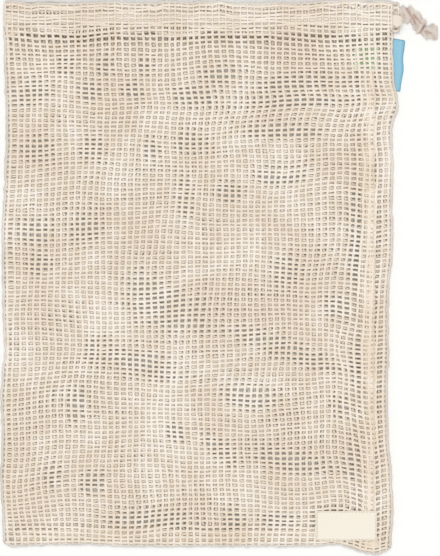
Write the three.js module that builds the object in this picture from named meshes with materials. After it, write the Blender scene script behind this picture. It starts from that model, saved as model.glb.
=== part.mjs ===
// A drawstring produce bag of cotton net, empty and lying on its back.
// Millimetres. +Z is up from the floor, +Y points to the mouth and +X to the edge with the side seam.
// The origin is on the floor under the middle of the bag.
import * as THREE from 'three';

const { degToRad, lerp, smoothstep } = THREE.MathUtils;

// Cloth and lay
const clothWall = 1; // the net, drawn as a plain wall
const clearance = 0.4; // between pieces that touch
const restHeight = 6.8; // outside height of the two loose layers
const bottomEdge = -215.2; // Y of the closed end
const mouthEdge = 215.2; // Y of the open end
const edgeRound = 4.5; // how far in from an edge the cloth starts to turn

// Hem that carries the drawstring
const casingHeight = 20.8; // along Y
const casingHem = 2; // sewn or folded rim on each side of the channel
const tapeThickness = 0.7;
const tapePlay = 0.3; // room on each side of the tape
const channelDepth = tapeThickness + 2 * tapePlay;
const casingThickness = channelDepth + 2 * clothWall;
const mouthGap = 4.5; // open height between the front and the back hem
const casingLeft = -154;
const casingFrontEnd = 153.6; // X where the front hem stops
const casingBackEnd = 159.5; // the back hem stands out a little further
const sleeveCorner = 1.2; // cut corners of the hem's section and of its channel
const channelCorner = 0.5;
const tapeCorner = 0.3;
const rimShare = 0.4; // how much of a flat section's thickness is left at its two rims

// Seams and labels
const seamX = 141.8; // the side seam runs down the back here
const seamWidth = 13.5; // turned-in cloth beside the side seam
const seamLayers = 2 * clothWall;
const sideSeamPlace = { fromX: seamX - seamWidth, toX: seamX, fromY: -199, toY: 192 };
const bottomSeamPlace = { fromX: -146, toX: 146, fromY: -211, toY: -201.5 };
const patchPlace = { fromX: 93.6, toX: seamX, fromY: -210.8, toY: -187.2 };
const innerLabelPlace = { fromX: 124, toX: 143.2, fromY: 162, toY: 180 };
const tagOutline = [
  { x: 147.2, y: 188.3 },
  { x: 164.7, y: 185.3 },
  { x: 162.8, y: 171 },
  { x: 163.5, y: 161 },
  { x: 162.6, y: 153 },
  { x: 160.8, y: 144.6 },
  { x: 147.2, y: 145.9 },
];
const labelThickness = 0.9;
const tagLift = 1.4; // the back layer rises over the tag and the seam's stitching

// Side edges as the bag lies, which wander by a few millimetres
const sideEdges = [
  { y: -215, left: -153.5, right: 153 },
  { y: -187, left: -154.5, right: 155.2 },
  { y: -163, left: -156, right: 154.2 },
  { y: -131, left: -154.5, right: 151.5 },
  { y: -100, left: -155.2, right: 150.5 },
  { y: -60, left: -153, right: 151.3 },
  { y: -20, left: -154, right: 151.3 },
  { y: 27, left: -154.5, right: 155 },
  { y: 74, left: -152.5, right: 154.2 },
  { y: 106, left: -151, right: 153 },
  { y: 137, left: -151.5, right: 156 },
  { y: 169, left: -153, right: 156 },
  { y: 196, left: -154, right: 155 },
];

// Soft ridges in the upper layer, each along a line from one point to another
const foldFade = 0.3; // share of a ridge's length over which each end fades out
const folds = [
  { fromX: 112, fromY: 150, toX: 121, toY: 15, halfWidth: 10, height: 1.8 },
  { fromX: 119, fromY: 20, toX: 116, toY: -75, halfWidth: 9, height: 2.4 },
  { fromX: 122, fromY: -55, toX: 138, toY: -170, halfWidth: 9, height: 2.6 },
  { fromX: 141, fromY: 140, toX: 143, toY: -10, halfWidth: 8, height: 1.2 },
  { fromX: -140, fromY: 60, toX: -60, toY: 44, halfWidth: 15, height: 1.2 },
  { fromX: -145, fromY: -85, toX: -30, toY: -98, halfWidth: 16, height: 1.4 },
  { fromX: -120, fromY: 130, toX: 40, toY: 122, halfWidth: 16, height: 1.1 },
  { fromX: 10, fromY: -20, toX: 100, toY: -32, halfWidth: 15, height: 1.2 },
];

// The bottom right corner sags towards -Y, most of all a little inside the edge
const cornerDip = { depth: 6.4, fromX: 112, toX: 140, backFromX: 143, backToX: 158, fromY: -170 };

// Mesh steps of the pouch
const pouchColumns = 23;
const columnCrowding = 1.5; // above 1, columns crowd towards the seam edge, where the folds are
const pouchRows = 27;
const edgeAngles = [45, 90, 135];
const endAngles = [25, 50, 70, 82];
const hemRunSteps = 14;
const hemTurnSteps = 6;

// Heights that follow from the sizes above
const casingStack = 2 * casingThickness + mouthGap;
const casingFoot = mouthEdge - casingHeight;
const casingMiddle = mouthEdge - casingHeight / 2;
const pouchTop = casingFoot - clearance;
const mouthRise = 60; // stretch below the hem over which the upper layer climbs to it
const lyingMiddle = restHeight / 2;

// Value of a table's column at a key, eased from row to row
function readTable(table, key, column, at) {
  const above = table.findIndex((row) => row[key] >= at);
  if (above === 0) return table[0][column];
  if (above < 0) return table[table.length - 1][column];
  const low = table[above - 1];
  const high = table[above];
  return lerp(low[column], high[column], smoothstep(at, low[key], high[key]));
}

// Height of one ridge: round across its line, fading out towards both ends
function ridgeHeight(fold, x, y) {
  const alongX = fold.toX - fold.fromX;
  const alongY = fold.toY - fold.fromY;
  const length = Math.hypot(alongX, alongY);
  const share = ((x - fold.fromX) * alongX + (y - fold.fromY) * alongY) / length ** 2;
  const off = ((x - fold.fromX) * alongY - (y - fold.fromY) * alongX) / length;
  const fade = smoothstep(share, 0, foldFade) * smoothstep(1 - share, 0, foldFade);
  return fold.height * fade * Math.exp(-((off / fold.halfWidth) ** 2));
}

// Outside of the upper layer, which rises to the hem at the mouth
function topHeight(x, y) {
  const rise = (casingStack - restHeight) * smoothstep(y, pouchTop - mouthRise, pouchTop);
  const ridges = folds.reduce((sum, fold) => sum + ridgeHeight(fold, x, y), 0);
  return restHeight + rise + ridges;
}

// Outside of the back layer: on the floor, lifted along the seam edge
function undersideHeight(x) {
  return tagLift * smoothstep(x, seamX - seamWidth, seamX - 1);
}

// How far a point near the bottom right corner has slipped towards -Y
function cornerSlip(x, y) {
  const nearBottom = smoothstep(cornerDip.fromY - y, 0, cornerDip.fromY - bottomEdge);
  const nearCorner = smoothstep(x, cornerDip.fromX, cornerDip.toX);
  const insideEdge = 1 - smoothstep(x, cornerDip.backFromX, cornerDip.backToX);
  return cornerDip.depth * nearBottom * nearCorner * insideEdge;
}

// A closed body through rings of points. Its ends are filled, or joined to each other.
function loftRings(rings, joinEnds = false) {
  const around = rings[0].length;
  const triangles = [];
  const bands = joinEnds ? rings.length : rings.length - 1;
  for (let ring = 0; ring < bands; ring += 1) {
    const here = ring * around;
    const there = ((ring + 1) % rings.length) * around;
    for (let step = 0; step < around; step += 1) {
      const next = (step + 1) % around;
      triangles.push([here + step, here + next, there + next]);
      triangles.push([here + step, there + next, there + step]);
    }
  }
  if (!joinEnds) {
    const lastRing = (rings.length - 1) * around;
    triangles.push(...fillRing(0, around).map(([a, b, c]) => [a, c, b]));
    triangles.push(...fillRing(lastRing, around));
  }
  return closedGeometry(rings.flat(), triangles);
}

// Triangles that zigzag across a ring, from its first and last point to its far end
function fillRing(start, around) {
  const triangles = [];
  for (let low = 0, high = around - 1; low + 1 < high; low += 1, high -= 1) {
    triangles.push([start + low, start + low + 1, start + high]);
    if (low + 1 < high - 1) triangles.push([start + low + 1, start + high - 1, start + high]);
  }
  return triangles;
}

// Geometry whose faces point out, whichever way round its rings were drawn
function closedGeometry(points, triangles) {
  const volume = triangles.reduce(
    (sum, [a, b, c]) => sum + points[a].dot(new THREE.Vector3().crossVectors(points[b], points[c])),
    0,
  );
  const outward = volume < 0 ? triangles.map(([a, b, c]) => [a, c, b]) : triangles;
  const geometry = new THREE.BufferGeometry().setFromPoints(points);
  geometry.setIndex(outward.flat());
  geometry.computeVertexNormals();
  return geometry;
}

// Rows of the pouch from the hem to the closed end, where the section rounds off
function pouchStations(inset) {
  const end = bottomEdge + inset;
  const rows = [];
  for (let row = 0; row <= pouchRows; row += 1) {
    rows.push({ y: lerp(pouchTop, end + edgeRound, row / pouchRows), fullness: 1 });
  }
  for (const angle of endAngles.map(degToRad)) {
    rows.push({ y: end + edgeRound * (1 - Math.sin(angle)), fullness: Math.cos(angle) });
  }
  return rows;
}

// One section of the pouch: over the top from the seam edge, round the fold and back underneath
function pouchRing({ y, fullness }, inset) {
  const left = readTable(sideEdges, 'y', 'left', y) + inset;
  const right = readTable(sideEdges, 'y', 'right', y) - inset;
  const flatWidth = right - left - 2 * edgeRound;
  const columns = [];
  for (let step = 0; step <= pouchColumns; step += 1) {
    columns.push(right - edgeRound - flatWidth * (step / pouchColumns) ** columnCrowding);
  }
  const place = (x, height) => {
    const z = lyingMiddle + (height - lyingMiddle) * fullness;
    return new THREE.Vector3(x, y - cornerSlip(x, y), z);
  };
  const edgeArc = (startX, outward) => {
    const upper = topHeight(startX, y) - inset;
    const lower = undersideHeight(startX) + inset;
    return edgeAngles.map(degToRad).map((angle) => {
      const height = (upper + lower) / 2 + ((upper - lower) / 2) * Math.cos(angle);
      return place(startX + outward * edgeRound * Math.sin(angle), height);
    });
  };
  return [
    ...columns.map((x) => place(x, topHeight(x, y) - inset)),
    ...edgeArc(columns[pouchColumns], -1),
    ...columns.toReversed().map((x) => place(x, undersideHeight(x) + inset)),
    ...edgeArc(columns[0], 1).toReversed(),
  ];
}

// The bag's body: an outer and an inner skin joined at the mouth, closed at the bottom
function netPouch() {
  const skin = (inset) => pouchStations(inset).map((station) => pouchRing(station, inset));
  return loftRings([...skin(clothWall).toReversed(), ...skin(0)]);
}

// Eight-sided flat section: half width across, half thickness through, with cut corners
function flatSection(halfWidth, halfThickness, corner) {
  const shoulder = halfWidth - corner;
  const rim = rimShare * halfThickness;
  return [
    [halfWidth, -rim],
    [halfWidth, rim],
    [shoulder, halfThickness],
    [-shoulder, halfThickness],
    [-halfWidth, rim],
    [-halfWidth, -rim],
    [-shoulder, -halfThickness],
    [shoulder, -halfThickness],
  ];
}

// Middle line of the hem: along the front, round the folded edge and back underneath
function hemLine(frontEnd, backEnd) {
  const turnRadius = (casingStack - casingThickness) / 2;
  const turnX = casingLeft + casingThickness / 2 + turnRadius;
  const line = [];
  const add = (x, z) => line.push({ x, z: z + casingStack / 2 });
  for (let step = 0; step < hemRunSteps; step += 1) {
    add(lerp(frontEnd, turnX, step / hemRunSteps), turnRadius);
  }
  for (let step = 0; step <= hemTurnSteps; step += 1) {
    const angle = (Math.PI * step) / hemTurnSteps;
    add(turnX - turnRadius * Math.sin(angle), turnRadius * Math.cos(angle));
  }
  for (let step = 1; step <= hemRunSteps; step += 1) {
    add(lerp(turnX, backEnd, step / hemRunSteps), -turnRadius);
  }
  return line;
}

// Unit direction of a line of points at one of them
function directionAt(points, index) {
  const before = points[Math.max(index - 1, 0)];
  const after = points[Math.min(index + 1, points.length - 1)];
  return new THREE.Vector3().subVectors(after, before).normalize();
}

// A ring of the section around a point, with its width along one direction
function sectionRing(section, point, across, along) {
  const through = new THREE.Vector3().crossVectors(along, across).normalize();
  return section.map(([wide, thick]) =>
    point.clone().addScaledVector(across, wide).addScaledVector(through, thick),
  );
}

// The hem: a flat sleeve with the drawstring's channel right through it
function drawstringCasing() {
  const line = hemLine(casingFrontEnd, casingBackEnd);
  const points = line.map(({ x, z }) => new THREE.Vector3(x, casingMiddle, z));
  const across = new THREE.Vector3(0, 1, 0);
  const sleeve = flatSection(casingHeight / 2, casingThickness / 2, sleeveCorner);
  const channel = flatSection(casingHeight / 2 - casingHem, channelDepth / 2, channelCorner);
  const skin = (section) =>
    points.map((point, index) => sectionRing(section, point, across, directionAt(points, index)));
  return loftRings([...skin(channel).toReversed(), ...skin(sleeve)], true);
}

// Drawstring tape where it runs in the casing
const tapeWidth = 8;
const tapeY = 201.3;
const tapeRunEnd = 148; // X where the free ends begin

// The front end folds over on itself just outside the casing, from its tucked end to the casing
const foldedEnd = [
  { x: 150.5, y: 199.4, z: 5.2, width: 8 },
  { x: 154.5, y: 199.2, z: 5, width: 9 },
  { x: 157.5, y: 199.3, z: 5.1, width: 9.2 },
  { x: 160.2, y: 199.7, z: 5.8, width: 7 },
  { x: 161.6, y: 200, z: 7.2, width: 4 },
  { x: 160.2, y: 199.9, z: 8.6, width: 7.2 },
  { x: 157.3, y: 199.5, z: 9.4, width: 9.6 },
  { x: 153.5, y: 200.6, z: 9.4, width: 8 },
];

// The back end comes out of the hem, turns down in soft creases and ends in a flat cut.
// A row gives its two edges and the height of its middle.
const freeEnd = [
  { lowX: 154, lowY: 199, highX: 154, highY: 208.2, z: 1.65 },
  { lowX: 159.6, lowY: 200.3, highX: 159.6, highY: 211, z: 1.65 },
  { lowX: 163.5, lowY: 199.1, highX: 162.7, highY: 212.5, z: 1.5 },
  { lowX: 168.7, lowY: 198.6, highX: 168.3, highY: 212, z: 1.4 },
  { lowX: 169.9, lowY: 197.7, highX: 173.8, highY: 208.7, z: 1.4 },
  { lowX: 170.4, lowY: 195, highX: 178.5, highY: 204.1, z: 1.3 },
  { lowX: 172.6, lowY: 191.3, highX: 181.8, highY: 199.9, z: 1.2 },
  { lowX: 176.1, lowY: 190.5, highX: 180.4, highY: 196.2, z: 1.2 },
  { lowX: 179.7, lowY: 187.1, highX: 181.6, highY: 195.7, z: 1.1 },
  { lowX: 184.5, lowY: 185.8, highX: 185, highY: 198.6, z: 0.9 },
  { lowX: 190.5, lowY: 185, highX: 190.5, highY: 197.5, z: 0.7 },
];

// A row of the free end as a station of the tape: its middle, its width and its way across
function betweenEdges({ lowX, lowY, highX, highY, z }) {
  const across = new THREE.Vector3(highX - lowX, highY - lowY, 0);
  return { x: (lowX + highX) / 2, y: (lowY + highY) / 2, z, width: across.length(), across: across.normalize() };
}

// The whole tape, from the tucked end through the casing to the cut end
function drawstring() {
  const run = hemLine(tapeRunEnd, tapeRunEnd).map(({ x, z }) => ({ x, y: tapeY, z, width: tapeWidth }));
  const stations = [...foldedEnd, ...run, ...freeEnd.map(betweenEdges)];
  const points = stations.map(({ x, y, z }) => new THREE.Vector3(x, y, z));
  const sideways = new THREE.Vector3(0, 1, 0);
  const rings = stations.map(({ width, across = sideways }, index) => {
    const section = flatSection(width / 2, tapeThickness / 2, tapeCorner);
    return sectionRing(section, points[index], across, directionAt(points, index));
  });
  return loftRings(rings);
}

// A flat piece of cloth lying on a surface, split into strips so that it bends with it.
// A piece that is sewn in slips with the bag's corner.
function layOnSurface({ fromX, toX, fromY, toY, columns, rows }, heightAt, thickness, slipAt = () => 0) {
  const rings = [];
  for (let column = 0; column <= columns; column += 1) {
    const x = lerp(fromX, toX, column / columns);
    const lower = [];
    for (let row = 0; row <= rows; row += 1) {
      const y = lerp(fromY, toY, row / rows);
      lower.push(new THREE.Vector3(x, y - slipAt(x, y), heightAt(x, y)));
    }
    const upper = lower.map((point) => point.clone().setZ(point.z + thickness));
    rings.push([...lower, ...upper.toReversed()]);
  }
  return loftRings(rings);
}

// Inside of the back layer, with room for the next piece
function insideBack(x) {
  return undersideHeight(x) + clothWall + clearance;
}

function sideSeamAllowance() {
  return layOnSurface({ ...sideSeamPlace, columns: 6, rows: 8 }, insideBack, seamLayers, cornerSlip);
}

function bottomSeamAllowance() {
  return layOnSurface({ ...bottomSeamPlace, columns: 40, rows: 1 }, insideBack, seamLayers, cornerSlip);
}

function patchLabel() {
  const onTop = (x, y) => topHeight(x, y) + clearance;
  return layOnSurface({ ...patchPlace, columns: 12, rows: 6 }, onTop, labelThickness);
}

function innerLabel() {
  const overSeam = (x) => insideBack(x) + seamLayers + clearance;
  return layOnSurface({ ...innerLabelPlace, columns: 6, rows: 1 }, overSeam, labelThickness);
}

// The tag lies on the floor, held under the back seam
function sideTag() {
  const outline = new THREE.Shape(tagOutline.map(({ x, y }) => new THREE.Vector2(x, y)));
  return new THREE.ExtrudeGeometry(outline, { depth: labelThickness, bevelEnabled: false });
}

// A named piece with its own cloth
function piece(name, geometry, color, roughness) {
  const mesh = new THREE.Mesh(geometry, new THREE.MeshStandardMaterial({ color, roughness, metalness: 0 }));
  mesh.name = name;
  return mesh;
}

const produceBag = new THREE.Group();
produceBag.add(
  piece('net_pouch', netPouch(), 0xf0e4d2, 0.95),
  piece('drawstring_casing', drawstringCasing(), 0xe6d9c6, 0.95),
  piece('drawstring', drawstring(), 0xdccdbe, 0.9),
  piece('side_seam_allowance', sideSeamAllowance(), 0xf0e2ca, 0.95),
  piece('bottom_seam_allowance', bottomSeamAllowance(), 0xf0e2ca, 0.95),
  piece('patch_label', patchLabel(), 0xefe8d6, 0.85),
  piece('inner_label', innerLabel(), 0xe4efd8, 0.7),
  piece('side_tag', sideTag(), 0x86c3e0, 0.6),
);

export default produceBag;
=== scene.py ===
import math

import bmesh
import bpy
import numpy as np
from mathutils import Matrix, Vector
from mathutils.bvhtree import BVHTree


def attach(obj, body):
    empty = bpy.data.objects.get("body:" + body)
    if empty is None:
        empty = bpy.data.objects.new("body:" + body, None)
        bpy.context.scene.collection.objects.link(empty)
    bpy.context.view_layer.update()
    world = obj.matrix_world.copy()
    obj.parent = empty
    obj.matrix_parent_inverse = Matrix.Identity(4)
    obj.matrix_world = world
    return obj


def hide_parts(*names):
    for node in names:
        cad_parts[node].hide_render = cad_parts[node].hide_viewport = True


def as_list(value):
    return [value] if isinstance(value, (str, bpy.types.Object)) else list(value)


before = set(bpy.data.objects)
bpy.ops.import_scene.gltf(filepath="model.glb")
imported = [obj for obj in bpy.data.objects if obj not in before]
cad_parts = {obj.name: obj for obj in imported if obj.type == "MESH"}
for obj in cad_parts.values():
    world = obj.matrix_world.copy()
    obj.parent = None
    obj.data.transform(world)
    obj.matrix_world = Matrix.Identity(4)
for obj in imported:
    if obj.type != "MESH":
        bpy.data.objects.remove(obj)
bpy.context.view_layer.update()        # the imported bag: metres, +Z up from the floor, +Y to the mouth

scene = bpy.context.scene
mm = 0.001
weldGap = 1e-7  # metres
fullTurn = 2 * math.pi
upward = np.array([0.0, 0.0, 1.0])
bagBody = "root"
print("frame loaded")

# Camera: straight down on the lying bag, with the picture's framing
photoView = {
    "pictureSize": (440, 556),  # pixels
    "bagMiddle": (197.5, 274.0),  # the pixel that lies over the bag's origin
    "pixelSize": 0.79,  # mm of bag for each pixel
    "netHeight": 7.0,  # mm above the floor, where that pixel size holds
    "distance": 1600.0,  # mm from the lens down to the net
    "sensor": 36.0,  # mm along the picture's longer side
}


def addCamera(view):
    width, height = view["pictureSize"]
    middleX, middleY = view["bagMiddle"]
    data = bpy.data.cameras.new("photo_view")
    data.sensor_width = view["sensor"]
    data.lens = view["sensor"] * view["distance"] / (height * view["pixelSize"])
    camera = bpy.data.objects.new("photo_view", data)
    camera.location = Vector((
        (width / 2 - middleX) * view["pixelSize"],
        (middleY - height / 2) * view["pixelSize"],
        view["netHeight"] + view["distance"],
    )) * mm
    scene.collection.objects.link(camera)
    scene.camera = camera


addCamera(photoView)
print("camera placed")


# Materials: small helpers, then one function for each real cloth
waveRadians = 20  # how far Blender's wave texture turns in one unit of its scale


def hexColour(code):
    channels = [int(code[at:at + 2], 16) / 255 for at in (1, 3, 5)]
    linear = [c / 12.92 if c <= 0.04045 else ((c + 0.055) / 1.055) ** 2.4 for c in channels]
    return (*linear, 1.0)


def perMetre(size):
    return 1 / (size * mm)  # noise scale on Object coordinates for a grain of so many mm


def bandScale(period):
    return fullTurn / waveRadians / period  # wave texture scale for bands this far apart


def addNode(tree, kind, settings=None, inputs=None):
    node = tree.nodes.new(kind)
    for name, value in (settings or {}).items():
        setattr(node, name, value)
    for name, value in (inputs or {}).items():
        if isinstance(value, bpy.types.NodeSocket):
            tree.links.new(value, node.inputs[name])
        else:
            node.inputs[name].default_value = value
    return node


def startMaterial(name, roughness, sheen):
    material = bpy.data.materials.new(name)
    material.use_nodes = True
    tree = material.node_tree
    tree.nodes.clear()
    shader = addNode(tree, "ShaderNodeBsdfPrincipled", inputs={
        "Roughness": roughness, "IOR": 1.5, "Specular IOR Level": 0.2,
        "Sheen Weight": sheen, "Sheen Roughness": 0.6,
    })
    addNode(tree, "ShaderNodeOutputMaterial", inputs={"Surface": shader.outputs["BSDF"]})
    return material, tree, shader


yarnLook = {
    "pale": "#F6EDE1", "deep": "#ECDECB", "roughness": 0.95, "sheen": 0.15,
    "slub": 9.0,  # mm, thicker and thinner stretches of the spun yarn
    "cloud": 55.0,  # mm, slow drift of the undyed colour
    "slubShare": 0.7, "deepFrom": 0.6, "deepTo": 1.0,
    "fibre": 0.9,  # mm, coarser than real fibres so that the picture still shows them
    "fibreDepth": 0.12, "fibreStrength": 0.5,
}
edgeShadeLook = {**yarnLook, "pale": "#E6DFD4", "deep": "#D8CFC4"}  # folded edges: a greyer yarn, painted shade of the edges turning away from the light
seamLook = {**yarnLook, "pale": "#F5E8D7", "deep": "#ECDCC6"}
threadLook = {**yarnLook, "pale": "#F3E9D6", "deep": "#E4D6BD", "slub": 3.0}


def unbleachedCotton(name, look):
    # Carded, undyed cotton yarn: matt and a little hairy, an uneven warm cream
    material, tree, shader = startMaterial(name, look["roughness"], look["sheen"])
    place = addNode(tree, "ShaderNodeTexCoord").outputs["Object"]
    cloud, slub, fibre = [
        addNode(tree, "ShaderNodeTexNoise", inputs={
            "Vector": place, "Scale": perMetre(look[grain]), "Detail": detail,
        }).outputs["Fac"]
        for grain, detail in (("cloud", 2.0), ("slub", 4.0), ("fibre", 3.0))
    ]
    uneven = addNode(tree, "ShaderNodeMath", {"operation": "MULTIPLY_ADD", "use_clamp": True}, {
        0: slub, 1: look["slubShare"], 2: cloud,
    })
    share = addNode(tree, "ShaderNodeMapRange", {"interpolation_type": "SMOOTHSTEP"}, {
        "Value": uneven.outputs[0], "From Min": look["deepFrom"], "From Max": look["deepTo"],
    })
    colour = addNode(tree, "ShaderNodeMix", {"data_type": "RGBA"}, {
        "Factor": share.outputs["Result"], 6: hexColour(look["pale"]), 7: hexColour(look["deep"]),
    })
    bump = addNode(tree, "ShaderNodeBump", inputs={
        "Height": fibre, "Strength": look["fibreStrength"], "Distance": look["fibreDepth"] * mm,
    })
    tree.links.new(colour.outputs[2], shader.inputs["Base Color"])
    tree.links.new(bump.outputs["Normal"], shader.inputs["Normal"])
    return material


tapeLook = {
    "roughness": 0.9, "sheen": 0.2,
    "pale": "#F4EADE", "deep": "#E9DCCD",  # inside the hem
    "cutEndPale": "#E7DED3", "cutEndDeep": "#D6CBC0",
    "fold": "#B3948A",  # painted shade of the creases: a dull pink
    "thread": 0.9,  # mm between threads, a little coarser than the real tape
    "threadDepth": 0.15, "threadStrength": 0.6, "waver": 1.2,
}


def wovenTape(name, look, length, width):
    # Soft plain-woven cotton tape: matt, greyer than the net, with fine cross threads and painted shade in
    # its creases
    material, tree, shader = startMaterial(name, look["roughness"], look["sheen"])
    uv = addNode(tree, "ShaderNodeTexCoord").outputs["UV"]
    flat = addNode(tree, "ShaderNodeMapping", inputs={"Vector": uv, "Scale": (length, width, 1.0)})
    bands = [
        addNode(tree, "ShaderNodeTexWave", {"bands_direction": way}, {
            "Vector": flat.outputs["Vector"], "Scale": bandScale(look["thread"]),
            "Distortion": look["waver"], "Detail": 2.0, "Detail Scale": 2.0,
        })
        for way in ("X", "Y")
    ]
    weave = addNode(tree, "ShaderNodeMath", {"operation": "MULTIPLY"}, {
        0: bands[0].outputs["Fac"], 1: bands[1].outputs["Fac"],
    })
    colour, cutEndColour = [
        addNode(tree, "ShaderNodeMix", {"data_type": "RGBA"}, {
            "Factor": weave.outputs[0], 6: hexColour(look[deep]), 7: hexColour(look[pale]),
        }).outputs[2]
        for deep, pale in (("deep", "pale"), ("cutEndDeep", "cutEndPale"))
    ]
    # The first mark makes the cut end greyer; the second paints shade into the creases and low parts
    for mark, markColour in (("cut_end_grey", cutEndColour), ("crease", hexColour(look["fold"]))):
        share = addNode(tree, "ShaderNodeAttribute", {"attribute_name": mark})
        colour = addNode(tree, "ShaderNodeMix", {"data_type": "RGBA"}, {
            "Factor": share.outputs["Fac"], 6: colour, 7: markColour,
        }).outputs[2]
    bump = addNode(tree, "ShaderNodeBump", inputs={
        "Height": weave.outputs[0], "Strength": look["threadStrength"], "Distance": look["threadDepth"] * mm,
    })
    tree.links.new(colour, shader.inputs["Base Color"])
    tree.links.new(bump.outputs["Normal"], shader.inputs["Normal"])
    return material


labelLooks = {  # block and rim are plain areas: block in shares of the sides, rim in mm
    "patch": {
        "name": "fine_woven_cotton_label", "ground": "#F6F0E3", "thread": "#EBE3D3", "roughness": 0.85,
        "block": "#E6DDCB", "blockX": (0.0, 0.03), "blockY": (0.0, 1.0),
        "rim": 0.8, "rimColour": "#EDE5D5", "spacing": 0.8,
    },
    "inner": {
        "name": "printed_satin_ribbon_label", "ground": "#E6EBDA", "thread": "#D8E0C8", "roughness": 0.55,
        "block": "#A9D79A", "blockX": (0.25, 0.97), "blockY": (0.06, 0.92),
        "rim": 0.4, "rimColour": "#DDE3CE", "spacing": 0.7,
    },
    "tag": {
        "name": "light_blue_satin_ribbon", "ground": "#9BCDE2", "thread": "#88BED6", "roughness": 0.5,
        "block": "#79B1CB", "blockX": (0.84, 0.88), "blockY": (0.0, 1.0),
        "rim": 0.7, "rimColour": "#5F9AB4", "spacing": 0.8,
    },
}
labelWeave = {
    "sheen": 0.1, "waver": 0.8, "ribStrength": 0.4, "ribDepth": 0.1,
    "edgeSoft": 0.012,  # softness of the areas' edges, in shares of the label's sides
}


def bandMask(tree, value, limits):
    # 1 between two limits and 0 outside them, with soft edges
    soft = labelWeave["edgeSoft"]
    low, high = limits
    rise, fall = [
        addNode(tree, "ShaderNodeMapRange", {"interpolation_type": "SMOOTHSTEP"}, {
            "Value": value, "From Min": begin, "From Max": end,
        }).outputs["Result"]
        for begin, end in ((low - soft, low + soft), (high + soft, high - soft))
    ]
    return addNode(tree, "ShaderNodeMath", {"operation": "MULTIPLY"}, {0: rise, 1: fall}).outputs[0]


def areaMask(tree, place, limitsX, limitsY):
    sides = addNode(tree, "ShaderNodeSeparateXYZ", inputs={"Vector": place})
    return addNode(tree, "ShaderNodeMath", {"operation": "MULTIPLY"}, {
        0: bandMask(tree, sides.outputs["X"], limitsX),
        1: bandMask(tree, sides.outputs["Y"], limitsY),
    }).outputs[0]


def wovenLabel(look, width, height):
    # Narrow ribbon woven from fine thread: even fine ribs, a folded rim and one plain block of colour
    material, tree, shader = startMaterial(look["name"], look["roughness"], labelWeave["sheen"])
    uv = addNode(tree, "ShaderNodeTexCoord").outputs["UV"]
    flat = addNode(tree, "ShaderNodeMapping", inputs={"Vector": uv, "Scale": (width, height, 1.0)})
    ribs = addNode(tree, "ShaderNodeTexWave", {"bands_direction": "Y"}, {
        "Vector": flat.outputs["Vector"], "Scale": bandScale(look["spacing"]),
        "Distortion": labelWeave["waver"], "Detail": 2.0, "Detail Scale": 1.5,
    }).outputs["Fac"]
    rimX = look["rim"] / width
    rimY = look["rim"] / height
    inRim = areaMask(tree, uv, (rimX, 1 - rimX), (rimY, 1 - rimY))
    inBlock = areaMask(tree, uv, look["blockX"], look["blockY"])
    colour = hexColour(look["thread"])
    for share, name in ((ribs, "ground"), (inBlock, "block")):
        colour = addNode(tree, "ShaderNodeMix", {"data_type": "RGBA"}, {
            "Factor": share, 6: colour, 7: hexColour(look[name]),
        }).outputs[2]
    rimmed = addNode(tree, "ShaderNodeMix", {"data_type": "RGBA"}, {
        "Factor": inRim, 6: hexColour(look["rimColour"]), 7: colour,
    })
    bump = addNode(tree, "ShaderNodeBump", inputs={
        "Height": ribs, "Strength": labelWeave["ribStrength"], "Distance": labelWeave["ribDepth"] * mm,
    })
    tree.links.new(rimmed.outputs[2], shader.inputs["Base Color"])
    tree.links.new(bump.outputs["Normal"], shader.inputs["Normal"])
    return material


netCotton = unbleachedCotton("unbleached_cotton_yarn", yarnLook)
# Painted shade: a greyer copy of the yarn for the edge strands and the hem's fold
edgeShadeCotton = unbleachedCotton("cotton_yarn_painted_edge_shade", edgeShadeLook)
seamCotton = unbleachedCotton("unbleached_cotton_seam_cloth", seamLook)
sewingThread = unbleachedCotton("spun_cotton_sewing_thread", threadLook)
print("yarn materials made")


# Shared makers: lines of points, strands, joined meshes and flat cloth

def linkPiece(name, mesh, *materials):
    for material in materials:
        mesh.materials.append(material)
    mesh.shade_smooth()
    piece = bpy.data.objects.new(name, mesh)
    scene.collection.objects.link(piece)
    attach(piece, bagBody)
    return piece


smoothBasis = np.array([[0, 2, 0, 0], [-1, 0, 1, 0], [2, -5, 4, -1], [-1, 3, -3, 1]]) / 2


def smoothRun(rows, steps):
    # A smooth line through all the rows of a table (Catmull-Rom), with so many steps from row to row
    rows = np.array(rows, float)
    padded = np.vstack([2 * rows[0] - rows[1], rows, 2 * rows[-1] - rows[-2]])
    powers = (np.arange(steps) / steps)[:, None] ** np.arange(4)
    spans = [powers @ smoothBasis @ padded[at:at + 4] for at in range(len(rows) - 1)]
    return np.vstack([*spans, rows[-1:]])


def reachAlong(line):
    # How far along a line each of its points is
    return np.concatenate([[0], np.cumsum(np.linalg.norm(np.diff(line, axis=0), axis=1))])


def easeIn(value, reach):
    share = np.clip(value / reach, 0, 1)
    return share * share * (3 - 2 * share)


def bulge(place, bulges):
    # Smooth bulges along an edge, each with its place, half length and size
    return sum(size * np.exp(-((place - at) / half) ** 2) for at, half, size in bulges)


def yarnSection(name, halfWidth, halfThickness, sides):
    # Flattened section of a soft yarn that its neighbours press flat
    curve = bpy.data.curves.new(name, "CURVE")
    curve.dimensions = "2D"
    spline = curve.splines.new("POLY")
    spline.points.add(sides - 1)
    for number, point in enumerate(spline.points):
        angle = fullTurn * number / sides
        point.co = (halfWidth * math.cos(angle) * mm, halfThickness * math.sin(angle) * mm, 0, 1)
    spline.use_cyclic_u = True
    return bpy.data.objects.new(name, curve)


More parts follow.
